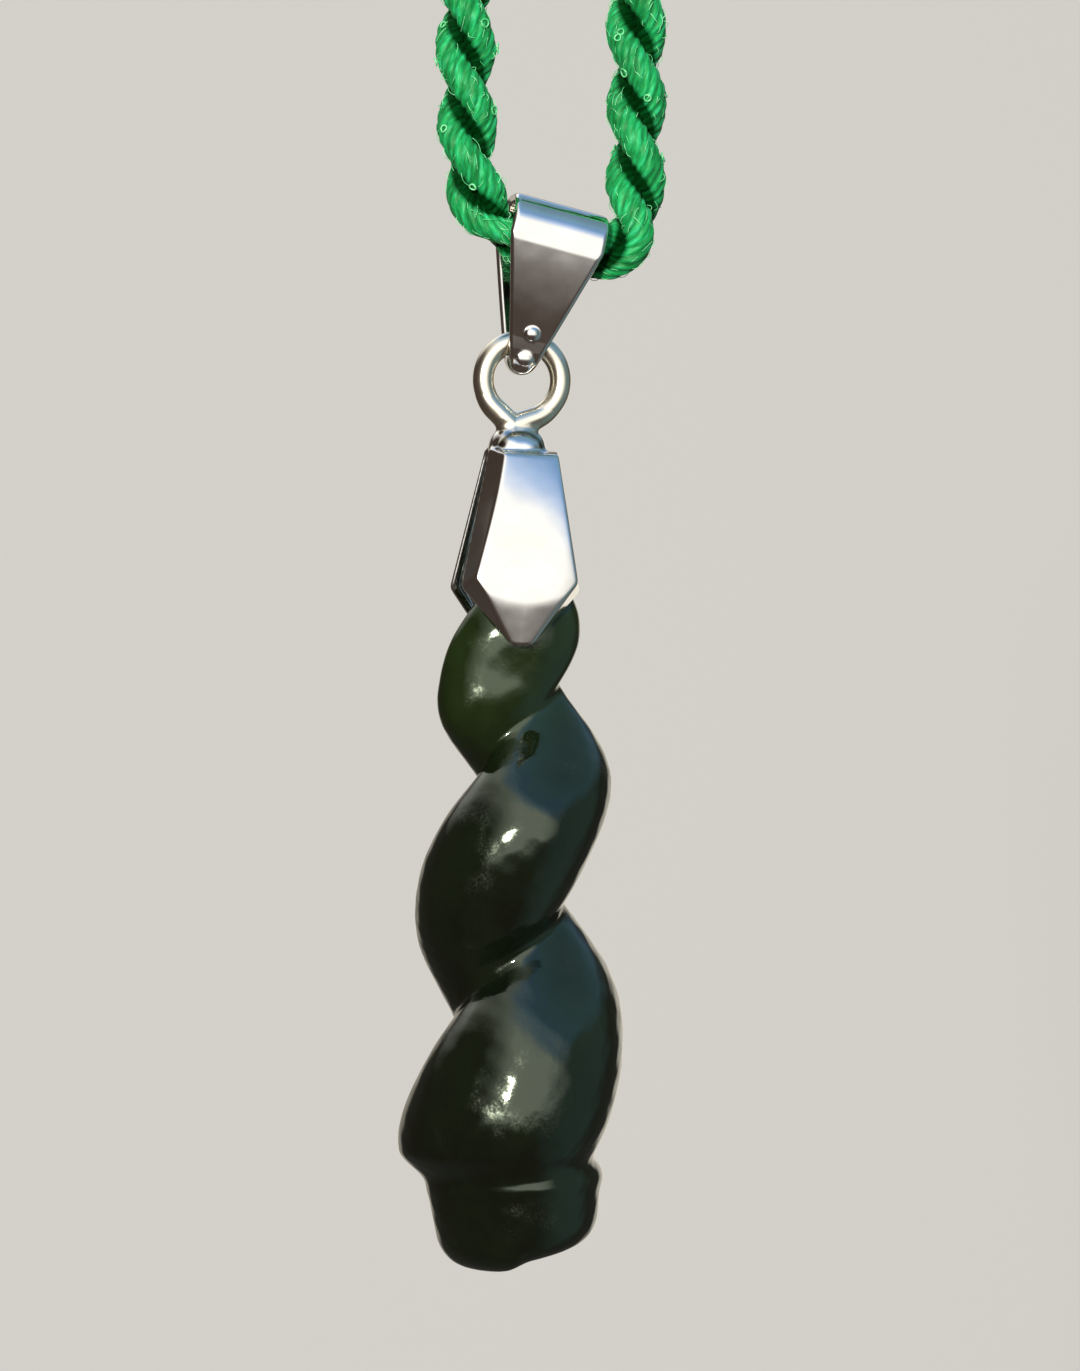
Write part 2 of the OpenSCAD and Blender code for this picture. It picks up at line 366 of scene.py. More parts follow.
def fibre_paths(line, plies, centres):
    """Paths and thread radii of the stray fibres on the rope, first the loops and then the hairs."""
    rng = np.random.default_rng(11)
    way, side, depth = rope_sides(line)
    paths = []
    for number in range(FIBRE_LOOPS + FIBRE_HAIRS):
        spot = rng.integers(len(line))
        angle = rng.uniform(0, 2 * math.pi)
        facing = math.cos(angle) * side[spot] + math.sin(angle) * depth
        ring = np.concatenate([ply[spot] for ply in plies])
        middle = np.repeat([centre[spot] for centre in centres], len(ring) // len(centres), axis=0)
        best = np.argmax((ring - line[spot]) @ facing)
        up = unit(ring[best] - middle[best])
        first = unit(np.cross(up, way[spot] + 0.3 * rng.normal(size=3)))
        second = np.cross(up, first)
        if number < FIBRE_LOOPS:
            paths.append((loop_path(rng, ring[best], first, second, up, angle), LOOP_THREAD_R))
        else:
            paths.append((hair_path(rng, ring[best], first, second, up), HAIR_THREAD_R))
    return paths


def thread_mesh(paths, corners=5):
    """Thin tubes along paths, all in one mesh."""
    points = []
    faces = []
    first = 0
    angles = 2 * math.pi * np.arange(corners) / corners
    for path, radius in paths:
        way = unit(np.gradient(path, axis=0))
        side = unit(np.cross(way, (0.31, 0.52, 0.79)))
        other = np.cross(way, side)
        rings = (
            path[:, None, :]
            + radius * np.cos(angles)[None, :, None] * side[:, None, :]
            + radius * np.sin(angles)[None, :, None] * other[:, None, :]
        )
        points.append(rings.reshape(-1, 3))
        faces.append(tube_faces(len(path), corners, first)[:-corners])
        first += rings.shape[0] * corners
    return np.concatenate(points), np.concatenate(faces)


def add_cord():
    """The rope, a closed loop whose two ends meet in the strap's fold, with its stray fibres."""
    line = closed_line(CORD_ROUTE, ROPE_RINGS)
    plies = [ply_mesh(line, ROPE_START + math.pi * ply) for ply in range(2)]
    columns = YARNS * YARN_POINTS
    faces = [tube_faces(ROPE_RINGS, columns, ply * ROPE_RINGS * columns) for ply in range(2)]
    points = [ply[0] for ply in plies]
    marks = {label: np.concatenate([ply[2][label] for ply in plies]) for label in plies[0][2]}
    rope = new_piece(
        "twisted_cord", np.concatenate(points).reshape(-1, 3), np.concatenate(faces), "cord_loop",
        "green_cord", marks=marks,
    )
    rope.data.materials.append(cord_material())
    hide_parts("cord")
    threads = thread_mesh(fibre_paths(line, points, [ply[1] for ply in plies]))
    fibres = new_piece("cord_fibres", *threads, "cord_loop", "green_cord")
    fibres.data.materials.append(fibre_material())


# Strap bail

# The strip's thickness, and its side outline: the fold's arch above and the small eye below
STRAP_T = 0.42
FOLD_OUT_R = 1.97
EYE_R = 1.02
EYE_BELOW = 0.35
# The arch's power, 2 for round and more for squarer, and how far the leaves bow outwards
FOLD_SQUARE = 2.8
STRAP_BOW = 0.07
# The front outline: half widths at the fold and at the tip, and the tip's place below the eye
FOLD_HALF_W = 2.3
TIP_HALF_W = 0.75
STRAP_TIP = 1.64
# Rounding of the strip's own edges, of the solder between its ends, and of the cut outline
SHEET_EDGE = 0.06
WEB_FILLET = 0.3
STRAP_EDGE = 0.26
# Little domes on the centreline of both leaves: height, distance out, and radius across
DOMES = ((0.28, 1.16, 0.36), (-0.84, 0.84, 0.44))
DOME_RISE = 0.17
# The space that the strap's mesh is made in: its low and high corners and its cell
STRAP_SPACE = ((-2.6, -2.2, -1.9), (2.6, 2.2, 6.9), 0.055)


def two_circles(across, up, big, small):
    """Distance from the outline that a high big arch and a low small circle make with their tangents."""
    reach = FOLD_RISE + EYE_BELOW
    slant = (big - small) / reach
    square = math.sqrt(1 - slant * slant)
    wide = np.abs(across)
    rise = up + EYE_BELOW
    place = slant * wide + square * rise
    low = np.hypot(wide, rise) - small
    high = np.hypot(wide, rise - reach) - big
    above = np.maximum(rise - reach, 0)
    arch = (wide ** FOLD_SQUARE + above ** FOLD_SQUARE) ** (1 / FOLD_SQUARE) - big
    side = wide * square - rise * slant - small
    top = np.where(rise > reach, arch, high)
    return np.where(place < 0, low, np.where(place > square * reach, top, side))


def strap_field(points):
    """The folded strip: its side outline and its tapered front outline, with rounded edges."""
    x, y, z = points.T
    height = np.clip(z / FOLD_RISE, 0, 1)
    depth = np.abs(y) - 4 * STRAP_BOW * height * (1 - height)
    outer = two_circles(depth, z, FOLD_OUT_R, EYE_R)
    inner = two_circles(depth, z, FOLD_OUT_R - STRAP_T, EYE_R - STRAP_T)
    sheet = soft_max(outer, -inner, SHEET_EDGE)
    web_top = STRAP_T - EYE_BELOW - EYE_R
    web = soft_max(np.abs(y) - STRAP_T, z - web_top, SHEET_EDGE)
    side = soft_min(sheet, web, WEB_FILLET)

    tip_z = TIP_HALF_W - STRAP_TIP
    lean = (FOLD_HALF_W - TIP_HALF_W) / (FOLD_RISE - tip_z)
    taper = np.abs(x) - TIP_HALF_W - lean * (np.minimum(z, FOLD_RISE) - tip_z)
    taper = taper / math.hypot(1, lean)
    tip = np.hypot(x, z - tip_z) - TIP_HALF_W
    front = np.where(z < tip_z, tip, taper)
    strap = soft_max(side, front, STRAP_EDGE)
    for dome_z, out, radius in DOMES:
        away = np.hypot(np.hypot(x, z - dome_z), (np.abs(y) - out) * radius / DOME_RISE)
        strap = soft_min(strap, (away - radius) * DOME_RISE / radius, SHEET_EDGE)
    return strap


def add_strap_bail():
    """The strap bail as one solid of polished sheet."""
    points, faces, normals = surface_of(strap_field, *STRAP_SPACE)
    points = turn_about_y(points, STRAP_TILT) + np.array(EYE)
    normals = turn_about_y(normals, STRAP_TILT)
    strap = new_piece("folded_strap", points, faces, "strap", "silver", normals)
    strap.data.materials.append(silver_material("strap_silver"))
    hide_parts("strap_bail")


# Pinch bail: ring, bridge, two leaves and two pins

# The ring's wire: its radius, how far its colour spreads, how much it swells near its ends, from where
# and over how much of the ring's radius, its turn in degrees, and the half angle and overlap of the V in
# which its ends meet
WIRE_R = 0.5
WIRE_SPREAD = 0.2
WIRE_SWELL = 0.08
SWELL_FROM = 0.6
SWELL_REACH = 0.5
WIRE_TURN = 10
V_ANGLE = math.radians(35)
V_OVERLAP = 0.1
# The bridge: a short barrel with round ends
BRIDGE_R = 1.1
BRIDGE_X = -0.12
BRIDGE_HALF_W = 1.36
BRIDGE_END = 1.2
BRIDGE_Z = -3.3
# The seam between ring and bridge, a shallow groove with shade painted dark along it: an arch's middle,
# half width and rise, how it fades in from its feet, its thickness, its depth, and how far its painted
# shade spreads
SEAM_X = -0.08
SEAM_Z = -3.45
SEAM_HALF_W = 1.08
SEAM_RISE = 0.95
SEAM_FADE = 0.3
SEAM_T = 0.12
SEAM_DEPTH = 0.05
SEAM_SPREAD = 0.35
# Fillets of solder between bridge and ring, and between them and the leaves
RING_FILLET = 0.3
LEAF_FILLET = 0.22
# The pins: radius, distances out of their inner and outer ends, and rounding
PIN_R = 0.6
PIN_FROM = 0.55
PIN_TO = 2.5
PIN_EDGE = 0.1
# The leaves' tops, and the thickness of their sheet
LEAF_TOP_Z = -3.3
LEAF_T = 0.4
# Corners of a leaf: half width, distance down and distance out
RIM_TOP = (1.45, 0, 0.45)
RIM_TOP_LEFT = 1.91
CORNER = (2.85, 6.6, 1.3)
FACET_TOP = (1.25, 0.25, 1.7)
FACET = (2.42, 6.1, 2.85)
FACET_FOOT = (0.8, 6.9, 2.97)
TIP = (0.4, 9.35, 2.7)
# How softly the facets meet, the sheet's inner edge, and its cut rim
EDGE_SOFT = 0.05
INNER_EDGE = 0.1
RIM_EDGE = 0.16
# The side wall leans, so the distance square to it is this share of the sideways one; and the least
# depth that it is counted with, where its two edges come together
WALL_SLANT = 0.94
WALL_LEAST = 0.5
# The front facet is a little pillowed: its rise, its middle and its radius across and up
CROWN = 0.16
CROWN_MIDDLE = -7.1
CROWN_ACROSS = 15
CROWN_UP = 26
# The leaf's top stands a little further right than its foot
LEAF_SHEAR = 0.045
LEAF_FOOT_Z = -10.2
# The space that the pinch bail's mesh is made in
PINCH_SPACE = ((-3.0, -3.2, -13.0), (3.0, 3.2, 2.5), 0.065)


def ring_field(points):
    """The ring of round wire: an arc, and two straight ends that meet in a V."""
    x, y, z = turn_about_y(points, -WIRE_TURN).T
    angle = np.arctan2(np.abs(x), -z)
    arc = np.hypot(np.hypot(x, z) - RING_R, y)
    start = (RING_R * math.sin(V_ANGLE), -RING_R * math.cos(V_ANGLE))
    foot = (-V_OVERLAP, -RING_R / math.cos(V_ANGLE))
    run_x = foot[0] - start[0]
    run_z = foot[1] - start[1]
    wide = np.abs(x)
    share = ((wide - start[0]) * run_x + (z - start[1]) * run_z) / (run_x ** 2 + run_z ** 2)
    share = np.clip(share, 0, 1)
    end = np.hypot(np.hypot(wide - start[0] - share * run_x, z - start[1] - share * run_z), y)
    swell = WIRE_SWELL * np.clip((-z / RING_R - SWELL_FROM) / SWELL_REACH, 0, 1)
    return np.where(angle > V_ANGLE, np.minimum(arc, end), end) - WIRE_R - swell


def plane_through(a, b, c, within):
    """Normal and offset of the plane through three leaf corners, facing away from the inside."""
    a, b, c = (np.array([half, -out, LEAF_TOP_Z - down]) for half, down, out in (a, b, c))
    normal = unit(np.cross(b - a, c - a))
    if normal @ (np.array(within) - a) > 0:
        normal = -normal
    return normal, normal @ a


def mirrored(corner):
    """The same leaf corner at the other side."""
    return (-corner[0],) + corner[1:]


def leaf_planes():
    """The leaf's facets, for the right half; the left half mirrors them."""
    within = (0, -1.5, LEAF_TOP_Z - 5)
    facets = [
        (FACET_TOP, mirrored(FACET_TOP), FACET),
        (FACET, mirrored(FACET), FACET_FOOT),
        (FACET_FOOT, mirrored(FACET_FOOT), TIP),
        (FACET, FACET_FOOT, TIP),
        (FACET, CORNER, TIP),
        (RIM_TOP, mirrored(RIM_TOP), FACET_TOP),
    ]
    backs = [
        (RIM_TOP, mirrored(RIM_TOP), CORNER),
        (CORNER, mirrored(CORNER), TIP),
    ]
    return (
        [plane_through(*facet, within) for facet in facets],
        [plane_through(*back, within) for back in backs],
    )


LEAF_FACETS, LEAF_BACKS = leaf_planes()


def crown_drop(points):
    """How far the pillowed front facet falls away from its plane, less its rise in the middle."""
    across = points[:, 0] ** 2 / (2 * CROWN_ACROSS)
    up = (points[:, 2] - CROWN_MIDDLE) ** 2 / (2 * CROWN_UP)
    return across + up - CROWN


def leaf_wall(points, rim_top):
    """How far outside the leaf's side wall; the wall turns slowly from its top to the corner."""
    down = LEAF_TOP_Z - points[:, 2]
    to_facet = (down - FACET_TOP[1]) / (FACET[1] - FACET_TOP[1])
    to_corner = down / CORNER[1]
    facet_half = FACET_TOP[0] + (FACET[0] - FACET_TOP[0]) * to_facet
    facet_out = FACET_TOP[2] + (FACET[2] - FACET_TOP[2]) * to_facet
    rim_half = rim_top + (CORNER[0] - rim_top) * to_corner
    rim_out = RIM_TOP[2] + (CORNER[2] - RIM_TOP[2]) * to_corner
    inward = (facet_out + points[:, 1]) / np.maximum(facet_out - rim_out, WALL_LEAST)
    return WALL_SLANT * (points[:, 0] - facet_half - (rim_half - facet_half) * inward)


def soft_greatest(heights):
    """The greatest of several fields at each point, with rounded edges where they meet."""
    total = 0
    for height in heights:
        total = total + np.exp(np.clip(height / EDGE_SOFT, -60, 60))
    return EDGE_SOFT * np.log(total + 1e-30)


def leaf_field(points):
    """One hollow faceted leaf, open at the back; the other is its mirror image."""
    across = points[:, 0] - LEAF_SHEAR * (points[:, 2] - LEAF_FOOT_Z)
    left = np.clip(0.5 - across / 2, 0, 1)
    rim_top = RIM_TOP[0] + (RIM_TOP_LEFT - RIM_TOP[0]) * left
    folded = np.stack([np.abs(across), -np.abs(points[:, 1]), points[:, 2]], axis=1)
    # The side wall, and then the facets, of which the first one is pillowed
    heights = [leaf_wall(folded, rim_top)]
    heights += [folded @ normal - offset for normal, offset in LEAF_FACETS]
    heights[1] = heights[1] + crown_drop(folded)
    outer = soft_greatest(heights)
    hollow = soft_greatest([height + LEAF_T for height in heights])
    back = soft_greatest([folded @ normal - offset for normal, offset in LEAF_BACKS])
    shell = soft_max(outer, -hollow, INNER_EDGE)
    return soft_max(shell, back, RIM_EDGE)


def bridge_field(points):
    """The rounded bridge over both leaves' tops."""
    x, y, z = points.T
    barrel = np.hypot(y, z - BRIDGE_Z) - BRIDGE_R
    return soft_max(barrel, np.abs(x - BRIDGE_X) - BRIDGE_HALF_W, BRIDGE_END)


def seam(points):
    """How near a point is to the arched seam over the bridge, from 0 to 1."""
    x, _, z = points.T
    place = np.hypot((x - SEAM_X) / SEAM_HALF_W, (z - SEAM_Z) / SEAM_RISE)
    above = np.clip((z - SEAM_Z) / SEAM_FADE, 0, 1)
    return above * np.exp(-((place - 1) * SEAM_RISE / SEAM_T) ** 2)


def near(field, reach):
    """1 on or inside a form, falling to 0 over a reach outside it."""
    return np.exp(-(np.maximum(field, 0) / reach) ** 2)


def pin_field(points):
    """The two pins that point inwards from the leaves."""
    x, y, z = points.T
    reach = np.abs(y)
    rod = np.hypot(x, z + PIN_BELOW) - PIN_R
    return soft_max(rod, np.maximum(PIN_FROM - reach, reach - PIN_TO), PIN_EDGE)


def pinch_field(points):
    """Wire, bridge, leaves and pins, run together with soldered fillets."""
    metal = soft_min(bridge_field(points), ring_field(points), RING_FILLET)
    metal = soft_min(metal + SEAM_DEPTH * seam(points), leaf_field(points), LEAF_FILLET)
    return np.minimum(metal, pin_field(points))


def add_pinch_bail():
    """The pinch bail as one solid of polished silver."""
    points, faces, normals = surface_of(pinch_field, *PINCH_SPACE)
    # The first mark is where shade is painted dark along the seam's groove; the second is the ring's wire.
    marks = {
        "seam_shade": seam(points) * near(bridge_field(points), SEAM_SPREAD),
        "wire": near(ring_field(points), WIRE_SPREAD),
    }
    points = turn_about_y(points, PINCH_LEAN) + np.array([0, 0, -HANG_DROP])
    normals = turn_about_y(normals, PINCH_LEAN)
    bail = new_piece("faceted_bail", points, faces, "holder", "silver", normals, marks)
    bail.data.materials.append(silver_material("bail_silver"))
    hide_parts("pinch_bail")


# Stone

STONE_H = 33.2
STONE_BASE_Z = -83.7
# The drilled hole: its radius, its rounding, and its place sideways and above the base
HOLE_R = 0.65
HOLE_EDGE = 0.12
HOLE_X = -PIN_BELOW * math.sin(math.radians(PINCH_LEAN))
HOLE_Z = -HANG_DROP - PIN_BELOW * math.cos(math.radians(PINCH_LEAN)) - STONE_BASE_Z
# Turns counted down from the right side, and the groove's height there
SPIRAL = np.array([
    [-1.65, STONE_H + 3], [-0.65, STONE_H], [0, 27.6], [0.5, 23.4], [1, 17.5],
    [1.5, 12.2], [2, 5.5], [2.5, 3.2], [3, 0.2], [4, -6],
])
# Height, crest radius, groove radius, depth over width, and the axis's sideways place
GIRTH = np.array([
    [0, 3.4, 3.4, 1, -0.25], [1.8, 3.75, 3.75, 1, -0.32], [3.2, 3.98, 3.98, 1, -0.38],
    [4.2, 4.2, 4.15, 1, -0.42], [5.6, 5.35, 3.7, 1, -0.45], [8.8, 5.4, 3.2, 1, -0.45],
    [12.8, 5.05, 2.6, 1, -0.45], [17.3, 4.6, 2.25, 1, -0.4], [22.8, 4.5, 1.6, 0.92, -0.3],
    [27.5, 3.7, 2.0, 0.52, -0.25], [30.8, 3.35, 2.0, 0.58, -0.2], [STONE_H, 3.0, 2.1, 0.56, -0.15],
])
# How round the groove's bottom is, 0 for a sharp one
VALLEY = 0.25
# The cut base: a low toe at the left, a small step, and a slope that rises to the right
TOE_END_X = -1.2
STEP_X = -0.45
STEP_Z = 0.45
TOE_SOFT = 0.3
BASE_SLOPE = math.tan(math.radians(8))
# Rounding of the head, of the base's rim, and of both cut faces' edges
HEAD_ROUND = 4.5
HEAD_REACH = 4.75
BASE_ROUND = 1.5
BASE_FLAT = 0.6
CUT_EDGE = 0.5
# Unevenness left by hand polishing: height, size and seeds
UNEVEN = ((0.03, 3.1, (1, 2, 3, 4, 5)), (0.012, 1.2, (6, 7, 8, 9)))
# Stone thinner than this lets light through
THIN = 1.6
# Light shining through the stone is painted from this height up, growing over this reach, and sooner at
# its left
SHINE_FROM = 23.5
SHINE_REACH = 5
SHINE_LEAN = 0.12
# The space that the stone's mesh is made in
STONE_SPACE = ((-6.0, -5.8, -0.4), (5.2, 5.8, 33.6), 0.14)


def read_table(table, at, column):
    """A column of a table at places between its rows, along a smooth curve through them."""
    rows = table[:, 0]
    i = np.clip(np.searchsorted(rows, at, side="right") - 1, 0, len(rows) - 2)
    low = np.maximum(np.arange(len(rows)) - 1, 0)
    high = np.minimum(np.arange(len(rows)) + 1, len(rows) - 1)
    slope = (table[high, column] - table[low, column]) / (rows[high] - rows[low])
    step = rows[i + 1] - rows[i]
    t = np.clip((at - rows[i]) / step, 0, 1)
    lift = t * t * (3 - 2 * t)
    bend = slope[i] * (1 - t) - slope[i + 1] * t
    return table[i, column] * (1 - lift) + table[i + 1, column] * lift + step * t * (1 - t) * bend


SPIRAL_TURNS = np.linspace(SPIRAL[0, 0], SPIRAL[-1, 0], 20000)
SPIRAL_HEIGHTS = read_table(SPIRAL, SPIRAL_TURNS, 1)


def cut_height(x):
    """Height of the cut base, with the low toe at its left."""
    slope = STEP_Z + (x - STEP_X) * BASE_SLOPE
    toe = STEP_Z * (x - TOE_END_X) / (STEP_X - TOE_END_X)
    return soft_max(soft_min(slope, toe, TOE_SOFT), 0 * x, TOE_SOFT)


def waves(points, size, seeds):
    """Smooth unevenness from -1 to 1 with features of about that size."""
    total = 0
    for seed in seeds:
        way = np.array([math.sin(seed * 1.3), math.cos(seed * 2.1), math.sin(seed * 3.7 + 1)])
        total = total + np.sin(points @ (way * 2 * math.pi / size) + seed)
    return total / len(seeds)


def stone_field(points):
    """The carved stone, from its base up: whorls, rounded head and cut base."""
    x, y, z = points.T
    at = np.clip(z, 0, STONE_H)
    crest, groove, depth, axis_x = (read_table(GIRTH, at, column) for column in (1, 2, 3, 4))
    angle = np.arctan2(y / depth, x - axis_x)
    turn = np.interp(-z, -SPIRAL_HEIGHTS, SPIRAL_TURNS)
    share = np.mod(turn + angle / (2 * math.pi), 1)
    bow = 4 * share * (1 - share)
    swell = (np.sqrt(bow ** 2 + VALLEY ** 2) - VALLEY) / (math.sqrt(1 + VALLEY ** 2) - VALLEY)
    full = groove + (crest - groove) * swell
    up = np.clip(z - STONE_H + HEAD_ROUND, 0, HEAD_ROUND) / HEAD_REACH
    above_cut = z - cut_height(axis_x + full * np.cos(angle))
    down = np.clip(1 - above_cut / BASE_ROUND, 0, 1)
    radius = full * np.sqrt(1 - up ** 2) * (BASE_FLAT + (1 - BASE_FLAT) * np.sqrt(1 - down ** 2))
    side = np.hypot(x - axis_x, y / depth) - radius
    for height, size, seeds in UNEVEN:
        side = side + height * waves(points, size, seeds)
    body = soft_max(side, cut_height(x) - z, CUT_EDGE)
    body = soft_max(body, z - STONE_H, CUT_EDGE)
    hole = HOLE_R - np.hypot(x - HOLE_X, z - HOLE_Z)
    return soft_max(body, hole, HOLE_EDGE)


def add_stone():
    """The stone, with marks for its thick places and for where light shining through it is painted."""
    points, faces, normals = surface_of(stone_field, *STONE_SPACE)
    thick = np.clip(-stone_field(points - normals * THIN) / THIN, 0, 1)
    shine_through = np.clip((points[:, 2] - SHINE_FROM) / SHINE_REACH - SHINE_LEAN * points[:, 0], 0, 1)
    stone = new_piece(
        "carved_stone", points + np.array([0, 0, STONE_BASE_Z]), faces, "drop", "green_stone", normals,
        {"thick": thick, "shine_through": shine_through},
    )
    stone.data.materials.append(stone_material())
    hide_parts("stone")


# Materials

# How polished the silver is, as a roughness, and how much rougher the ring's worn wire is
SILVER_GLOSS = 0.10
WIRE_WORN = 0.13


def new_material(name):
    """A material with its nodes and its shader."""
    made = bpy.data.materials.new(name)
    made.use_nodes = True
    tree = made.node_tree
    return made, tree, tree.nodes["Principled BSDF"]


def add_node(tree, kind, settings=None, **inputs):
    """A node with settings and input values; input names have _ for a space."""
    node = tree.nodes.new(kind)
    for name, value in (settings or {}).items():
        setattr(node, name, value)
    for name, value in inputs.items():
        node.inputs[name.replace("_", " ")].default_value = value
    return node


def object_place(tree, scale):
    """Coordinates on the object, in units of which 1 is so many millimetres."""
    where = add_node(tree, "ShaderNodeTexCoord")
    mapping = add_node(tree, "ShaderNodeMapping", Scale=tuple(1 / (MM * s) for s in scale))
    tree.links.new(where.outputs["Object"], mapping.inputs["Vector"])
    return mapping.outputs["Vector"]


def noise(tree, place, detail=4, roughness=0.5, size=1.0):
    """Noise at a place, its features about one unit across at size 1."""
    node = add_node(tree, "ShaderNodeTexNoise", Scale=1 / size, Detail=detail, Roughness=roughness)
    tree.links.new(place, node.inputs["Vector"])
    return node.outputs["Fac"]


def ramp(tree, value, stops):
    """Colours along a value: each stop is a place from 0 to 1 and a colour."""
    node = add_node(tree, "ShaderNodeValToRGB")
    elements = node.color_ramp.elements
    while len(elements) < len(stops):
        elements.new(0.5)
    for element, (at, colour) in zip(elements, stops):
        element.position = at
        element.color = colour + (1,)
    tree.links.new(value, node.inputs["Fac"])
    return node.outputs["Color"]


def span(tree, value, low, high, from_low=0.0, from_high=1.0):
    """A value moved from one range to another and kept inside it."""
    node = add_node(tree, "ShaderNodeMapRange")
    node.inputs["From Min"].default_value = from_low
    node.inputs["From Max"].default_value = from_high
    node.inputs["To Min"].default_value = low
    node.inputs["To Max"].default_value = high
    tree.links.new(value, node.inputs["Value"])
    return node.outputs["Result"]


def mix(tree, share, first, second, way="MIX"):
    """Two colours mixed by a share; each colour is a socket or a plain colour."""
    node = add_node(tree, "ShaderNodeMix", {"data_type": "RGBA", "blend_type": way})
    for socket, value in ((node.inputs[0], share), (node.inputs[6], first), (node.inputs[7], second)):
        if isinstance(value, bpy.types.NodeSocket):
            tree.links.new(value, socket)
        elif isinstance(value, tuple):
            socket.default_value = value + (1,)
        else:
            socket.default_value = value
    return node.outputs[2]


def bump(tree, height, strength, distance, before=None):
    """A bump whose distance is in millimetres."""
    node = add_node(tree, "ShaderNodeBump", Strength=strength, Distance=distance * MM)
    tree.links.new(height, node.inputs["Height"])
    if before is not None:
        tree.links.new(before, node.inputs["Normal"])
    return node.outputs["Normal"]


def point_mark(tree, label):
    """A share kept on the mesh's points."""
    return add_node(tree, "ShaderNodeAttribute", {"attribute_name": label}).outputs["Fac"]


def combined(tree, way, first, second):
    """Two values added or multiplied."""
    node = add_node(tree, "ShaderNodeMath", {"operation": way})
    tree.links.new(first, node.inputs[0])
    tree.links.new(second, node.inputs[1])
    return node.outputs["Value"]


def cord_material():
    """Satin nylon yarn, with shade painted darker down in the twist and in the creases between yarns, and
    a painted highlight on the yarns.
    """
    made, tree, shader = new_material("green_yarn")
    tint = ramp(tree, point_mark(tree, "tint"), [
        (0.0, (0.0030, 0.18, 0.040)),
        (1.0, (0.0060, 0.29, 0.075)),
    ])
    # Painted shade: the yarn darkens where its ply faces the other ply, down in the twist.
    core_shade = ramp(tree, point_mark(tree, "core"), [
        (0.38, (1, 1, 1)),
        (0.58, (0.06, 0.11, 0.06)),
    ])
    colour = mix(tree, 1.0, tint, core_shade, "MULTIPLY")
    # Painted shade in the creases between the yarns.
    crease = ramp(tree, point_mark(tree, "crease"), [
        (0.10, (1, 1, 1)),
        (0.85, (0.30, 0.38, 0.32)),
    ])
    colour = mix(tree, 1.0, colour, crease, "MULTIPLY")
    strands = add_node(tree, "ShaderNodeCombineXYZ")
    tree.links.new(point_mark(tree, "around"), strands.inputs["X"])
    tree.links.new(point_mark(tree, "along"), strands.inputs["Y"])
    stretch = add_node(tree, "ShaderNodeMapping", Scale=(2.4, 2.4, 1.0))
    tree.links.new(strands.outputs["Vector"], stretch.inputs["Vector"])
    fibres = noise(tree, stretch.outputs["Vector"], detail=3, roughness=0.6)
    # Darker and paler fibres along the yarns, and at the top stop a painted highlight on the yarns.
    shade = ramp(tree, fibres, [
        (0.32, (0.40, 0.50, 0.40)),
        (0.52, (1, 1, 1)),
        (0.70, (5.0, 1.55, 2.6)),
    ])
    colour = mix(tree, 1.0, colour, shade, "MULTIPLY")
    tree.links.new(colour, shader.inputs["Base Color"])
    tree.links.new(bump(tree, fibres, 0.7, 0.06), shader.inputs["Normal"])
    tree.links.new(span(tree, fibres, 0.65, 0.42), shader.inputs["Roughness"])
    # The painted core shade also darkens the specular and sheen down in the twist.
    tree.links.new(mix(tree, 1.0, core_shade, (0.6, 1.0, 0.7), "MULTIPLY"), shader.inputs["Specular Tint"])
    tree.links.new(mix(tree, 1.0, core_shade, (0.3, 1.0, 0.5), "MULTIPLY"), shader.inputs["Sheen Tint"])
    shader.inputs["Sheen Weight"].default_value = 0.12
    shader.inputs["Specular IOR Level"].default_value = 0.35
    return made


def fibre_material():
    """Single nylon fibres, paler than the yarn that they come out of."""
    made, tree, shader = new_material("green_fibre")
    shade = noise(tree, object_place(tree, (0.8, 0.8, 0.8)), detail=2)
    colour = ramp(tree, shade, [
        (0.35, (0.05, 0.38, 0.13)),
        (0.65, (0.20, 0.64, 0.31)),
    ])
    tree.links.new(colour, shader.inputs["Base Color"])
    shader.inputs["Roughness"].default_value = 0.3
    return made


def silver_material(name):
    """Polished silver, a little wavy, finely scratched and clouded by handling."""
    made, tree, shader = new_material(name)
    handled = noise(tree, object_place(tree, (1.4, 1.4, 1.4)), detail=3)
    colour = ramp(tree, handled, [
        (0.3, (0.83, 0.82, 0.79)),
        (0.7, (0.91, 0.90, 0.88)),
    ])
    rough = span(tree, handled, SILVER_GLOSS * 0.85, SILVER_GLOSS * 1.25, 0.3, 0.7)
    if name == "bail_silver":
        colour = mix(tree, point_mark(tree, "wire"), colour, (0.90, 0.85, 0.72))
        # Painted shade: the seam's groove over the bridge is made dark olive.
        colour = mix(tree, point_mark(tree, "seam_shade"), colour, (0.20, 0.19, 0.13))
        rough = combined(tree, "ADD", rough, span(tree, point_mark(tree, "wire"), 0, WIRE_WORN))
    tree.links.new(colour, shader.inputs["Base Color"])
    tree.links.new(rough, shader.inputs["Roughness"])
    shader.inputs["Metallic"].default_value = 1.0
    wavy = noise(tree, object_place(tree, (1.5, 1.5, 1.5)), detail=1)
    normal = bump(tree, wavy, 0.25, 0.05)
    scratches = noise(tree, object_place(tree, (0.03, 0.03, 0.9)), detail=2)
    normal = bump(tree, scratches, 0.12, 0.005, normal)
    tree.links.new(normal, shader.inputs["Normal"])
    return made


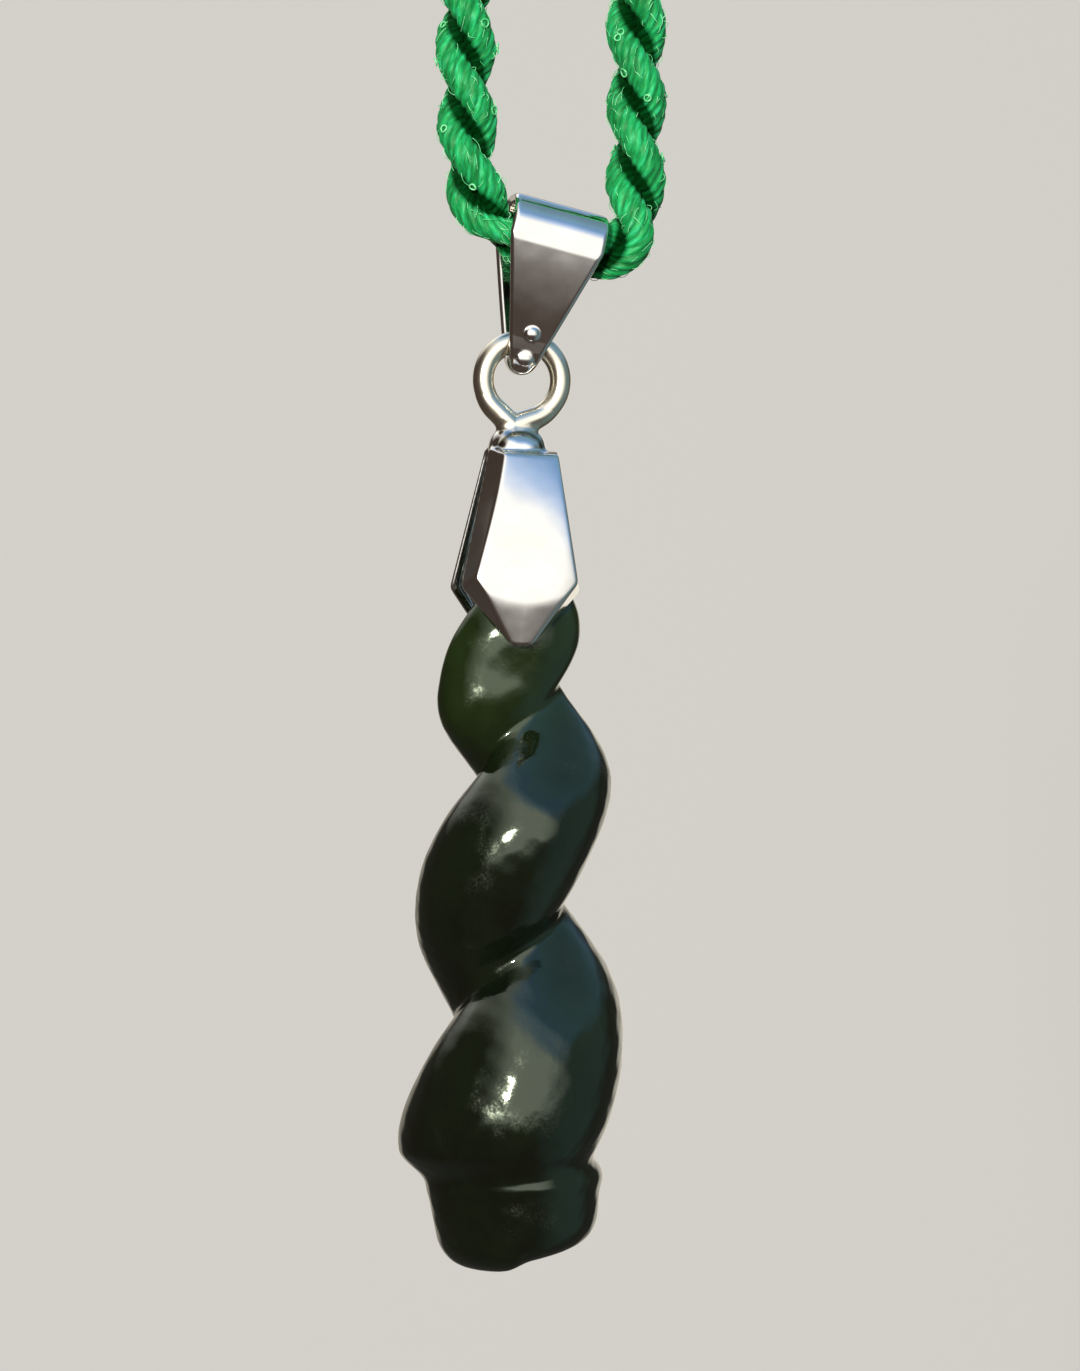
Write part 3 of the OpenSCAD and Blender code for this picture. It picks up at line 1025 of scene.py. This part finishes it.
def stone_material():
    """Polished dark green stone, painted lighter where it is thin and in its first whorl for light shining
    through it.
    """
    made, tree, shader = new_material("green_nephrite")
    cloud = noise(tree, object_place(tree, (3.0, 3.0, 4.5)), detail=6, roughness=0.6)
    dark = ramp(tree, cloud, [
        (0.35, (0.0016, 0.0028, 0.0012)),
        (0.65, (0.0032, 0.0058, 0.0024)),
    ])
    lit = ramp(tree, cloud, [
        (0.35, (0.0045, 0.0095, 0.0022)),
        (0.65, (0.0090, 0.0180, 0.0040)),
    ])
    # Painted light: lighter green where the stone is thin and up in its first whorl, standing in for light
    # shining through it.
    thin = span(tree, point_mark(tree, "thick"), 1, 0, 0.55, 1)
    colour = mix(tree, thin, dark, lit)
    colour = mix(tree, point_mark(tree, "shine_through"), colour, lit)
    tree.links.new(colour, shader.inputs["Base Color"])
    shader.inputs["IOR"].default_value = 1.85
    shader.inputs["Specular Tint"].default_value = (0.86, 1.0, 0.80, 1)
    grain = noise(tree, object_place(tree, (0.12, 0.12, 0.12)), detail=4)
    smear = noise(tree, object_place(tree, (2.2, 2.2, 2.2)), detail=3)
    smeared = ramp(tree, smear, [(0.52, (0.08, 0.08, 0.08)), (0.68, (0.30, 0.30, 0.30))])
    gloss = ramp(tree, grain, [(0.35, (0.6, 0.6, 0.6)), (0.75, (1.4, 1.4, 1.4))])
    tree.links.new(mix(tree, 1.0, smeared, gloss, "MULTIPLY"), shader.inputs["Roughness"])
    wavy = noise(tree, object_place(tree, (1.0, 1.0, 1.0)), detail=3)
    normal = bump(tree, wavy, 0.25, 0.05)
    pits = add_node(tree, "ShaderNodeTexVoronoi", {"feature": "SMOOTH_F1"}, Scale=1.0, Smoothness=0.4)
    tree.links.new(object_place(tree, (0.28, 0.28, 0.28)), pits.inputs["Vector"])
    pitted = ramp(tree, smear, [(0.50, (0, 0, 0)), (0.70, (1, 1, 1))])
    depth = mix(tree, 1.0, pits.outputs["Distance"], pitted, "MULTIPLY")
    normal = bump(tree, depth, 0.25, 0.03, normal)
    tree.links.new(normal, shader.inputs["Normal"])
    return made


# Light and stage

# What stands round the pendant: its direction, where it starts and is full, whether it ends a little
# above the horizon, and its colour
WALLS = (
    ((1, 0, 0), 0.35, 0.75, True, (0.13, 0.19, 0.20)),
    ((0, 1, 0), 0, 0.3, True, (0.07, 0.066, 0.06)),
    ((-1, 0, 0), 0.30, 0.75, False, (0.055, 0.040, 0.032)),
    ((0, 1, 0), 0.93, 0.97, True, (0.50, 0.45, 0.38)),
    ((0.5, 0.866, 0), 0.93, 0.97, True, (0.95, 0.88, 0.76)),
)


def toward(tree, place, way, low, high):
    """How far a direction lies towards a way: 0 at the low value and 1 at the high one."""
    node = add_node(tree, "ShaderNodeVectorMath", {"operation": "DOT_PRODUCT"})
    tree.links.new(place, node.inputs[0])
    node.inputs[1].default_value = way
    return span(tree, node.outputs["Value"], 0, 1, low, high)


def add_world():
    """Soft studio light: white all round, blue to the upper right, brown below, and the walls."""
    world = bpy.data.worlds.new("studio")
    bpy.context.scene.world = world
    world.use_nodes = True
    tree = world.node_tree
    place = add_node(tree, "ShaderNodeTexCoord").outputs["Generated"]
    colour = ramp(tree, toward(tree, place, (0.6, 0, 0.9), 0.2, 1.1), [
        (0.30, (1.25, 1.22, 1.15)),
        (0.46, (0.50, 0.66, 0.95)),
        (0.60, (0.20, 0.36, 0.64)),
        (0.78, (0.19, 0.35, 0.48)),
        (1.0, (0.15, 0.25, 0.32)),
    ])
    below = ramp(tree, toward(tree, place, (0, 0, -1), 0, 0.6), [
        (0.14, (0, 0, 0)),
        (0.34, (0.86, 0.86, 0.86)),
        (0.56, (1, 1, 1)),
    ])
    colour = mix(tree, below, colour, (0.068, 0.050, 0.041))
    low = toward(tree, place, (0, 0, -1), -0.5, -0.3)
    for way, start, end, low_only, tint in WALLS:
        share = toward(tree, place, way, start, end)
        if low_only:
            share = combined(tree, "MULTIPLY", share, low)
        colour = mix(tree, share, colour, tint)
    background = tree.nodes["Background"]
    tree.links.new(colour, background.inputs["Color"])
    background.inputs["Strength"].default_value = 1.0


def add_light(name, place, target, size, power, colour, seen=True):
    """A soft square light that shines from a place towards a target, both in millimetres."""
    data = bpy.data.lights.new(name, "AREA")
    data.size = size * MM
    data.energy = power
    data.color = colour
    light = bpy.data.objects.new(name, data)
    way = np.array(target, dtype=float) - np.array(place, dtype=float)
    light.location = tuple(np.array(place) * MM)
    yaw = math.atan2(way[0], -way[1])
    pitch = math.atan2(math.hypot(way[0], way[1]), -way[2])
    light.rotation_euler = (pitch, 0, yaw + math.pi)
    light.visible_camera = False
    light.visible_glossy = seen
    bpy.context.scene.collection.objects.link(light)


def add_stage():
    """A pale floor that curves up into a pale wall all round, seen by the camera only."""
    floor_z = -900
    flat_r = 500
    curve_r = 500
    wall_top = 2200
    curve_steps = 16
    columns = 96
    paper = (0.5, 0.485, 0.45, 1)
    outline = [(0, floor_z), (flat_r, floor_z)]
    for step in range(1, curve_steps + 1):
        angle = math.pi / 2 * step / curve_steps
        outline.append((flat_r + curve_r * math.sin(angle), floor_z + curve_r * (1 - math.cos(angle))))
    outline.append((flat_r + curve_r, wall_top))
    points = []
    faces = []
    for r, z in outline:
        for column in range(columns):
            angle = 2 * math.pi * column / columns
            points.append((r * math.cos(angle) * MM, r * math.sin(angle) * MM, z * MM))
    for row in range(len(outline) - 1):
        for column in range(columns):
            side = (column + 1) % columns
            faces.append((
                row * columns + column, row * columns + side,
                (row + 1) * columns + side, (row + 1) * columns + column,
            ))
    mesh = bpy.data.meshes.new("stage")
    mesh.from_pydata(points, [], faces)
    mesh.polygons.foreach_set("use_smooth", [True] * len(mesh.polygons))
    stage = bpy.data.objects.new("stage", mesh)
    stage.visible_glossy = False
    stage.visible_diffuse = False
    stage.visible_shadow = False
    stage.visible_transmission = False
    bpy.context.scene.collection.objects.link(stage)
    made, _, shader = new_material("pale_paper")
    shader.inputs["Base Color"].default_value = paper
    shader.inputs["Roughness"].default_value = 0.9
    shader.inputs["Emission Color"].default_value = paper
    shader.inputs["Emission Strength"].default_value = 0.7
    mesh.materials.append(made)


add_camera()
add_cord()
add_strap_bail()
add_pinch_bail()
add_stone()
add_world()
add_stage()
add_light("key", (-160, -410, 25), (0, 0, -65), 32, 3.2, (1.0, 0.95, 0.85))
add_light("fill", (-120, -420, 260), (0, 0, -50), 260, 0.8, (1.0, 0.97, 0.92), seen=False)
bpy.context.scene.view_settings.view_transform = "Standard"
